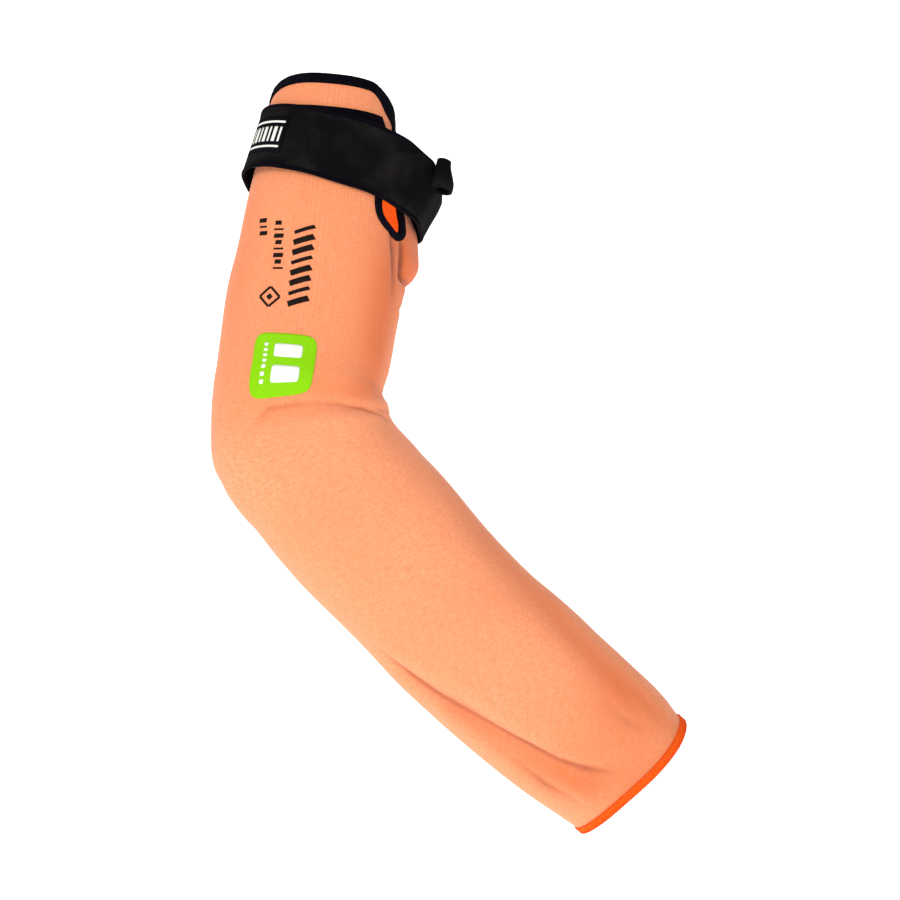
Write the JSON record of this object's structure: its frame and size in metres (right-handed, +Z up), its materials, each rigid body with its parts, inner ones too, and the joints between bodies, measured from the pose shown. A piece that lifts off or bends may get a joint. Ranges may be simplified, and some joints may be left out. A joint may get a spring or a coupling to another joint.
{
  "type": "cut resistant sleeve",
  "caption": "Knitted cut resistant arm sleeve in the form it has when worn on a bent arm, with a bound slit and a black strap round the upper arm",
  "frame": {"origin": "the middle of the upper arm inside the arm strap", "axes": "+Z up along the worn upper arm, +X to the inner side of the elbow where the forearm goes, -Y to the front with the print"},
  "size_m": [0.3143, 0.1274, 0.5076],
  "materials": {
    "knit_sleeve": "heathered orange knit",
    "top_binding": "near-black navy woven tape, folded over the edge and sewn",
    "wrist_edge": "bright orange overedge thread",
    "arm_strap": "black brushed loop webbing",
    "under_band": "black webbing with a navy edge",
    "strap_end_tab": "black webbing, rolled",
    "strap_label": "black woven label with plain pale lines",
    "print_patch": "flat lime screen print with plain pale bars"
  },
  "bodies": {
    "root": {"knit_sleeve": "knit_sleeve", "top_binding": "top_binding", "wrist_edge": "wrist_edge", "arm_strap": "arm_strap", "under_band": "under_band", "strap_end_tab": "strap_end_tab", "strap_label": "strap_label", "print_patch": "print_patch"}
  },
  "joints": []
}
